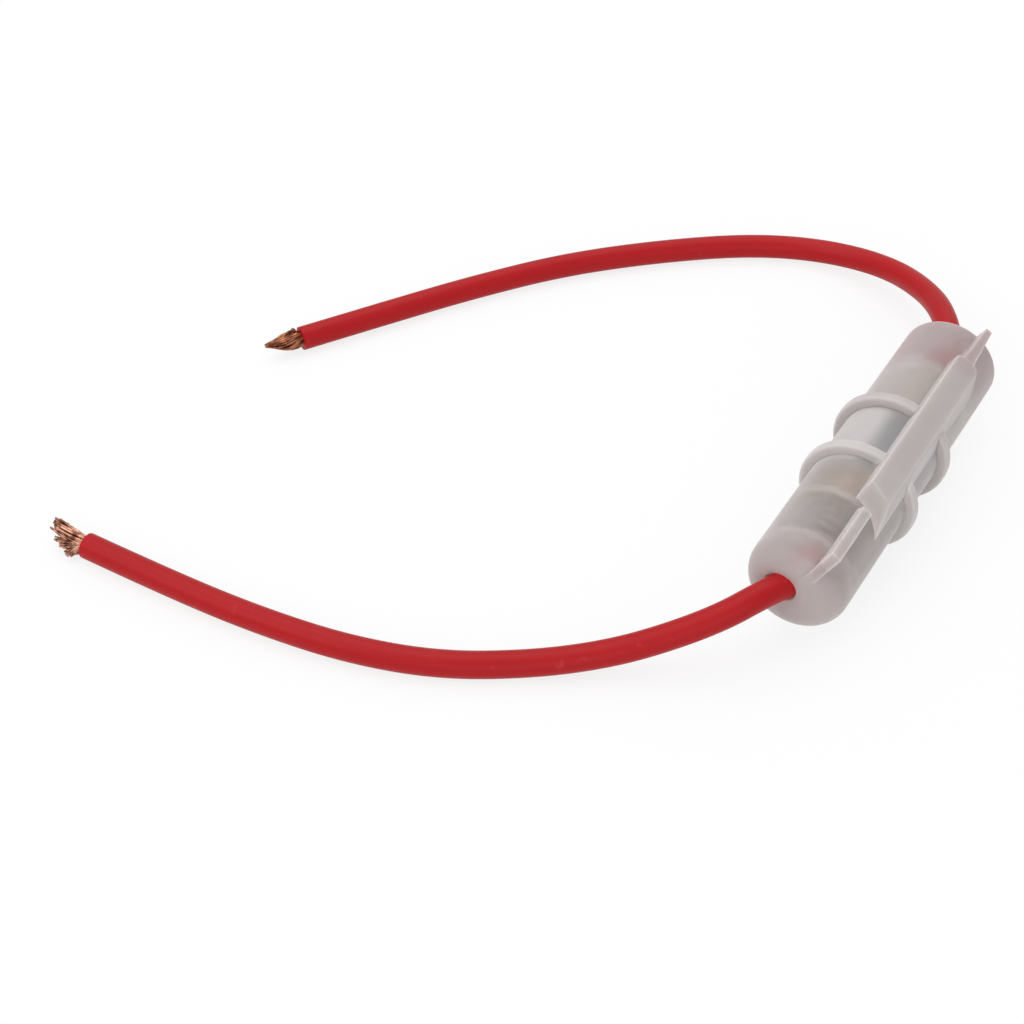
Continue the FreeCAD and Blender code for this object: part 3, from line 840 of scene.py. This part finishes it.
@dataclass(frozen=True)
class Fray:
    """How the bare strands at a lead's cut end lie. Angles are in radians.

    Attributes:
        seed: Seed of its random numbers.
        bare: Length of the longest strands in metres.
        gather: Width of the strands at their tips, as a share of that at the lead.
        belly: How much wider they bulge midway.
        lean: How far their tips lean, in metres.
        broken: Number of short strands that stand off.
        broken_lean: Way in which those lean, and about how far.
        count: Number of whole strands.
        strand: Radius of one strand.
        ragged: Largest share by which a whole strand falls short.
        ragged_power: Higher for fewer strands that fall far short.
        jitter: How far a strand may sit aside of its place in the twist.
        twist: Turn of a strand along its length.
        packing: Share of the core's radius that the middles of the strands fill.
        gather_power: Higher where they gather closer to the tips.
        lean_power: Higher where they lean closer to the tips.
        wobble: How far a point of a strand strays, in metres.
        stations: Points along a strand, as shares of its length; those below 0 lie in the lead.
        broken_shares: Where in the core the broken strands sit, from its middle to its rim.
        broken_spread: How far to each side of their way they fan out.
        broken_reach: Their shortest and longest share of the bare length.
        lean_short: Factor on broken_lean for a broken strand of no length.
        lean_drop: How much of that factor a strand of full length loses.
    """

    seed: int
    bare: float
    gather: float
    belly: float
    lean: tuple
    broken: int
    broken_lean: tuple
    count: int = 34
    strand: float = 0.00013
    ragged: float = 0.34
    ragged_power: float = 1.5
    jitter: float = 0.2
    twist: float = 0.9
    packing: float = 0.86
    gather_power: float = 1.3
    lean_power: float = 1.5
    wobble: float = 0.00005
    stations: tuple = (-0.28, 0.0, 0.2, 0.45, 0.72, 1.0)
    broken_shares: tuple = (0.55, 1.0)
    broken_spread: float = 1.5
    broken_reach: tuple = (0.2, 0.92)
    lean_short: float = 1.3
    lean_drop: float = 1.38

    def points(self, index: int, dice: random.Random, cut: CutEnd, core: float) -> list[tuple]:
        """Lay one strand.

        Args:
            index: Its number. Whole strands come first, then the broken ones.
            dice: The random numbers of this end.
            cut: The lead's cut end.
            core: Radius of the lead's conductor.

        Returns:
            Control points in metres.
        """
        if index < self.count:
            share = math.sqrt((index + 0.5) / self.count)
            angle = index * GOLDEN_ANGLE + dice.uniform(-self.jitter, self.jitter)
            reach = 1.0 - self.ragged * dice.random() ** self.ragged_power
            lean, gather = Vector(self.lean), self.gather
        else:
            way = Vector(self.broken_lean)
            share = dice.uniform(*self.broken_shares)
            angle = math.atan2(way.dot(cut.rise), way.dot(cut.side))
            angle += dice.uniform(-self.broken_spread, self.broken_spread)
            reach = dice.uniform(*self.broken_reach)
            lean, gather = way * (self.lean_short - self.lean_drop * reach), 1.0
        laid = []
        for step in self.stations:
            out = max(step, 0.0)
            turn = angle + self.twist * step
            radius = core * self.packing * share
            radius *= 1.0 + (gather - 1.0) * out ** self.gather_power
            radius *= 1.0 + self.belly * math.sin(math.pi * out)
            radius += dice.uniform(-self.wobble, self.wobble) * (step > 0)
            off = cut.side * (radius * math.cos(turn)) + cut.rise * (radius * math.sin(turn))
            middle = cut.place + cut.ahead * (self.bare * reach * step)
            laid.append(tuple(middle + off + lean * out ** self.lean_power))
        return laid


@dataclass(frozen=True)
class Lead:
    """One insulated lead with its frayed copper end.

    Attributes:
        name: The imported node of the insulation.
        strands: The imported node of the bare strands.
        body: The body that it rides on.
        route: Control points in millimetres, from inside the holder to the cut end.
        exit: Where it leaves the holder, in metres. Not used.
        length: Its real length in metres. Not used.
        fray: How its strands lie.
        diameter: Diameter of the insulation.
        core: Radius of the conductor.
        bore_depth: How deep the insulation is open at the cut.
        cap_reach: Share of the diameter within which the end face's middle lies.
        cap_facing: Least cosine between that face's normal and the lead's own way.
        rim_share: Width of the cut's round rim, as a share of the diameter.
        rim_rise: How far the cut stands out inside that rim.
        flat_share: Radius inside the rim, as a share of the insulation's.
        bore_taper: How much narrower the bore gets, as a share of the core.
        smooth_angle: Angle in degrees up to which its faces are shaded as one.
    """

    name: str
    strands: str
    body: str
    route: list[tuple]
    exit: tuple
    length: float
    fray: Fray
    diameter: float = 0.0027
    core: float = 0.00084
    bore_depth: float = 0.0012
    cap_reach: float = 0.125
    cap_facing: float = 0.9
    rim_share: float = 1 / 22
    rim_rise: float = 0.00006
    flat_share: float = 0.91
    bore_taper: float = 0.1
    smooth_angle: float = 50.0

    def build(self, red: bpy.types.Material, copper: bpy.types.Material) -> None:
        """Args:
            red: Finish of the insulation.
            copper: Finish of the strands.
        """
        points = [tuple(number * MM for number in place) for place in self.route]
        guide = spline_curve(f"{self.name}_line", points)
        path = line_points(guide)
        bpy.data.objects.remove(guide)
        cut = CutEnd.of(path)
        skin = as_mesh(spline_curve(f"{self.name}_insulation", points, self.diameter / 2))
        self.open_end(skin, cut)
        activate(skin)
        bpy.ops.object.shade_smooth_by_angle(angle=math.radians(self.smooth_angle))
        dress(skin, red, "insulation")
        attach(skin, self.body)
        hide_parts(self.name)
        fray = self.frayed(cut)
        dress(fray, copper, "copper")
        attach(fray, self.body)
        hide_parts(self.strands)

    def open_end(self, skin: bpy.types.Object, cut: CutEnd) -> None:
        """Round the rim of the insulation's cut end and sink a bore into it.

        Args:
            skin: The insulation.
            cut: Its cut end.
        """
        select_faces(skin, lambda face: (
            (face.center - cut.place).length < self.diameter * self.cap_reach
            and abs(face.normal.dot(cut.ahead)) > self.cap_facing))
        activate(skin)
        bpy.ops.object.mode_set(mode="EDIT")
        bpy.ops.mesh.select_mode(type="FACE")
        bpy.ops.mesh.inset(thickness=self.diameter * self.rim_share, depth=self.rim_rise)
        bpy.ops.mesh.inset(thickness=self.diameter / 2 * self.flat_share - self.core, depth=0.0)
        bpy.ops.mesh.inset(thickness=self.core * self.bore_taper, depth=-self.bore_depth)
        bpy.ops.object.mode_set(mode="OBJECT")

    def frayed(self, cut: CutEnd) -> bpy.types.Object:
        """Build the bare strands at the cut end.

        Args:
            cut: The lead's cut end.

        Returns:
            The strands as one piece.
        """
        dice = random.Random(self.fray.seed)
        made = []
        for index in range(self.fray.count + self.fray.broken):
            points = self.fray.points(index, dice, cut, self.core)
            curve = spline_curve(f"{self.strands}_{index}", points, self.fray.strand, sides=1)
            made.append(as_mesh(curve))
        deselect_all()
        for item in made:
            item.select_set(True)
        bpy.context.view_layer.objects.active = made[0]
        bpy.ops.object.join()
        fray = bpy.context.view_layer.objects.active
        fray.name = fray.data.name = f"{self.strands}_frayed"
        bpy.ops.object.shade_smooth()
        return fray


@dataclass(frozen=True)
class Shells:
    """The two moulded halves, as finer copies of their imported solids.

    Attributes:
        plastic: Their finish.
        edge: Width of the rounds on their edges.
        segments: Faces across such a round.
        sharp_angle: Angle in degrees from which an edge is rounded.
        flat_angle: Angle in degrees up to which faces count as one flat.
        weld: Distance within which points are one.
        inner_radius: Distance from the axis within which all faces are inside.
        end_depth: Distance from the holder's ends from which they are.
    """

    plastic: MilkyPlastic
    edge: float = 0.00008
    segments: int = 2
    sharp_angle: float = 40.0
    flat_angle: float = 0.6
    weld: float = 0.000002
    inner_radius: float = 0.00415
    end_depth: float = 0.0027

    def build(self, frame: dict) -> None:
        """Copy, weld, soften and dress both halves.

        Args:
            frame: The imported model.
        """
        outside = self.plastic.outside()
        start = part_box("near_shell")[0].x + self.end_depth
        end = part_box("far_shell")[1].x - self.end_depth
        low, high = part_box("near_contact")
        middle_y, middle_z = (low.y + high.y) / 2, (low.z + high.z) / 2
        for node, body in (("near_shell", NEAR_HALF), ("far_shell", FAR_HALF)):
            shell = self.softened(frame["nodes"][node])
            dress(shell, outside, "shell")
            shell.data.materials.append(self.plastic.inside(f"{node}_bores", body == NEAR_HALF))
            reach = [math.hypot(point.co.y - middle_y, point.co.z - middle_z)
                     for point in shell.data.vertices]
            for face in shell.data.polygons:
                deep = max(reach[index] for index in face.vertices) < self.inner_radius
                face.material_index = int(deep and start < face.center.x < end)
            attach(shell, body)
            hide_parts(node)

    def softened(self, packed: bpy.types.Object) -> bpy.types.Object:
        """Weld the faces of a packed half and round its sharp edges.

        Args:
            packed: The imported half, which stays as it is.

        Returns:
            The copy.
        """
        shell = bpy.data.objects.new(f"{packed.name}_moulded", packed.data.copy())
        bpy.context.scene.collection.objects.link(shell)
        activate(shell)
        bpy.ops.object.mode_set(mode="EDIT")
        bpy.ops.mesh.select_all(action="SELECT")
        bpy.ops.mesh.remove_doubles(threshold=self.weld)
        bpy.ops.mesh.dissolve_limited(angle_limit=math.radians(self.flat_angle))
        bpy.ops.object.mode_set(mode="OBJECT")
        if shell.data.has_custom_normals:
            bpy.ops.mesh.customdata_custom_splitnormals_clear()
        apply_modifier(shell, "BEVEL", width=self.edge, segments=self.segments,
                       limit_method="ANGLE", angle_limit=math.radians(self.sharp_angle),
                       use_clamp_overlap=True, harden_normals=False)
        activate(shell)
        bpy.ops.object.shade_smooth_by_angle(angle=SMOOTH_ANGLE)
        return shell


@dataclass(frozen=True)
class Works:
    """What the holder holds: contacts, spring, fuse and the crimped conductors.

    Attributes:
        turns: Turns of the spring.
        wire: Diameter of its wire.
        steps: Points in one turn.
        sides: Bevel resolution of its wire.
    """

    turns: float = 5.5
    wire: float = 0.0005
    steps: int = 16
    sides: int = 3

    def build(self, frame: dict) -> None:
        """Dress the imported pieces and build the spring.

        Args:
            frame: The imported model.
        """
        brass, nickel = BRASS.material(), NICKEL.material()
        tin, copper = TIN.material(), COPPER.material()
        finishes = {
            "near_contact": (brass, "brass"), "far_contact": (brass, "brass"),
            "fuse_cap_near": (nickel, "fuse_cap"), "fuse_cap_far": (nickel, "fuse_cap"),
            "fuse_solder_near": (tin, "solder"), "fuse_solder_far": (tin, "solder"),
            "fuse_element": (tin, "solder"), "fuse_glass": (FuseGlass().material(), "glass"),
            "near_conductor": (copper, "copper"), "far_conductor": (copper, "copper"),
        }
        for node, (material, slot) in finishes.items():
            piece = frame["nodes"][node]
            dress(piece, material, slot)
            activate(piece)
            bpy.ops.object.shade_smooth_by_angle(angle=SMOOTH_ANGLE)
        self.spring()

    def spring(self) -> None:
        """Coil the contact spring between its two seats."""
        low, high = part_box("contact_spring")
        start, end = low.x + self.wire / 2, high.x - self.wire / 2
        radius = (high.y - low.y - self.wire) / 2
        middle_y, middle_z = (low.y + high.y) / 2, (low.z + high.z) / 2
        count = int(self.turns * self.steps)
        points = []
        for index in range(count + 1):
            share = index / count
            angle = 2 * math.pi * self.turns * share
            points.append((start + (end - start) * share, middle_y + radius * math.sin(angle),
                           middle_z + radius * math.cos(angle)))
        coil = as_mesh(spline_curve("contact_spring_coil", points, self.wire / 2, self.sides))
        bpy.ops.object.shade_smooth()
        dress(coil, STEEL.material(), "spring")
        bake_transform(coil)
        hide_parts("contact_spring")


@dataclass(frozen=True)
class Lamp:
    """A square area lamp that faces the holder.

    Attributes:
        name: Its name.
        place: Where it hangs, in metres.
        size: Its side in metres.
        power: Its power in watts.
    """

    name: str
    place: tuple
    size: float
    power: float

    def hang(self) -> None:
        """Hang it."""
        data = bpy.data.lights.new(self.name, "AREA")
        data.size = self.size
        data.energy = self.power
        lamp = bpy.data.objects.new(self.name, data)
        bpy.context.scene.collection.objects.link(lamp)
        lamp.location = self.place
        lamp.rotation_euler = (-Vector(self.place)).to_track_quat("-Z", "Y").to_euler()


@dataclass(frozen=True)
class Studio:
    """Pale table, soft lamps and the camera.

    Attributes:
        eye: Place of the camera.
        target: Point that it looks at.
        lens: Focal length in millimetres.
        sensor: Width of its sensor in millimetres.
        clip: Nearest and farthest distance that it sees.
        floor_size: Side of the table.
        floor_drop: How far the table lies below the lowest pieces.
        floor_colour: Colour of the table.
        fleck: Colour of its faint grain.
        fleck_size: Size of that grain.
        fleck_share: How strong it is.
        floor_roughness: Roughness of the table.
        floor_gloss: Its specular level.
        floor_glow: Share of plain white that the camera sees in it.
        room: Strength of the room's light.
        lamps: The lamps.
    """

    eye: tuple = (-0.14719, -0.0449, 0.14007)
    target: tuple = (-0.01804, 0.03151, 0.0)
    lens: float = 70.3125
    sensor: float = 36.0
    clip: tuple = (0.005, 20.0)
    floor_size: float = 4.0
    floor_drop: float = 0.00002
    floor_colour: tuple = (0.86, 0.86, 0.86)
    fleck: tuple = (0.8, 0.8, 0.8)
    fleck_size: float = 0.002
    fleck_share: float = 0.04
    floor_roughness: float = 0.7
    floor_gloss: float = 0.2
    floor_glow: float = 0.80
    room: float = 0.60
    lamps: tuple = (
        Lamp("key_lamp", (0.05, 0.25, 0.65), 0.60, 1.7),
        Lamp("fill_lamp", (-0.55, 0.36, 0.58), 0.45, 1.5),
        Lamp("front_lamp", (-0.55, -0.35, 0.30), 0.50, 1.0),
        Lamp("back_lamp", (0.45, 0.10, 0.50), 0.60, 0.8),
    )

    def build(self) -> None:
        """Build the camera, the table, the room and the lamps."""
        self.camera()
        self.floor()
        self.world()
        for lamp in self.lamps:
            lamp.hang()

    def camera(self) -> None:
        """Stand the camera where the photograph was taken from."""
        data = bpy.data.cameras.new("camera")
        data.lens = self.lens
        data.sensor_width = self.sensor
        data.clip_start, data.clip_end = self.clip
        camera = bpy.data.objects.new("camera", data)
        bpy.context.scene.collection.objects.link(camera)
        camera.location = self.eye
        aim = Vector(self.target) - Vector(self.eye)
        camera.rotation_euler = aim.to_track_quat("-Z", "Y").to_euler()
        bpy.context.scene.camera = camera

    def floor(self) -> None:
        """Lay a pale table that shows near white and keeps the object's shadow."""
        deselect_all()
        bpy.ops.mesh.primitive_plane_add(size=self.floor_size, location=(0, 0, -self.floor_drop))
        floor = bpy.context.view_layer.objects.active
        floor.name = "table_top"
        bench = Bench.material("pale_table")
        flecks = bench.noise(self.fleck_size) * self.fleck_share
        matt = bench.principled({
            "Base Color": bench.blend(flecks, self.floor_colour, self.fleck),
            "Roughness": self.floor_roughness, "Specular IOR Level": self.floor_gloss,
        })
        glow = bench.node("ShaderNodeEmission", inputs={"Color": (*WHITE, 1.0), "Strength": 1.0})
        seen = bench.ray(Ray.CAMERA).larger(bench.ray(Ray.GLOSSY))
        seen = seen.larger(bench.ray(Ray.TRANSMISSION))
        mixed = bench.mixed(seen * self.floor_glow, matt, glow)
        floor.data.materials.append(bench.finish(mixed))

    def world(self) -> None:
        """Light the room evenly and show it white to the camera."""
        bench = Bench(bpy.data.worlds.new("room"))
        dim, white = (bench.node("ShaderNodeBackground", inputs={
            "Color": (*WHITE, 1.0), "Strength": strength}) for strength in (self.room, 1.0))
        mixed = bench.mixed(bench.ray(Ray.CAMERA), dim, white)
        bpy.context.scene.world = bench.finish(mixed)


NEAR_ROUTE = [
    (-15.6, 0.0, 6.2), (-17.7, 0.0, 6.2), (-22.4, 1.8, 7.05), (-25.6, 4.2, 5.7),
    (-28.9, 8.0, 3.9), (-32.2, 12.5, 2.2), (-36.3, 18.3, 1.4), (-40.9, 25.8, 1.35),
    (-43.6, 34.4, 1.35), (-44.8, 43.9, 1.35), (-45.2, 54.0, 1.35), (-45.1, 64.75, 1.35),
]
FAR_ROUTE = [
    (15.8, 0.0, 6.2), (20.9, 0.0, 6.2), (27.2, 3.0, 6.2), (32.6, 7.2, 4.8),
    (37.4, 13.8, 2.8), (38.4, 22.1, 1.45), (35.1, 30.1, 1.35), (28.3, 38.9, 1.35),
    (20.4, 47.1, 1.35), (11.2, 54.0, 1.35), (2.3, 59.8, 1.35), (-6.8, 65.6, 1.35),
]
NEAR_FRAY = Fray(seed=4, bare=0.0044, gather=1.0, belly=0.1, lean=(0.0003, 0.0, 0.0007),
                 broken=36, broken_lean=(-0.0011, 0.0, -0.0006))
FAR_FRAY = Fray(seed=9, bare=0.0043, gather=0.22, belly=0.7, lean=(0.0, 0.0, 0.0005),
                broken=16, broken_lean=(0.0002, 0.0001, 0.0004))


def main() -> None:
    """Build every piece in order."""
    logging.basicConfig(level=logging.INFO, format="%(name)s: %(message)s")
    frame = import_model()
    bpy.context.scene.view_settings.view_transform = "Standard"
    Studio().build()
    red, copper = Insulation().material(), COPPER.material()
    near_wall, far_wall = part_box("near_shell")[0].x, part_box("far_shell")[1].x
    Lead(name="near_lead", strands="near_strands", body=NEAR_HALF, route=NEAR_ROUTE,
         exit=(near_wall, 0.0009, 0.0067), length=0.0772, fray=NEAR_FRAY).build(red, copper)
    Lead(name="far_lead", strands="far_strands", body=FAR_HALF, route=FAR_ROUTE,
         exit=(far_wall, 0.0, 0.0062), length=0.0989,
         fray=FAR_FRAY).build(red, AGED_COPPER.material())
    Shells(MilkyPlastic()).build(frame)
    Works().build(frame)


if __name__ == "__main__":
    main()
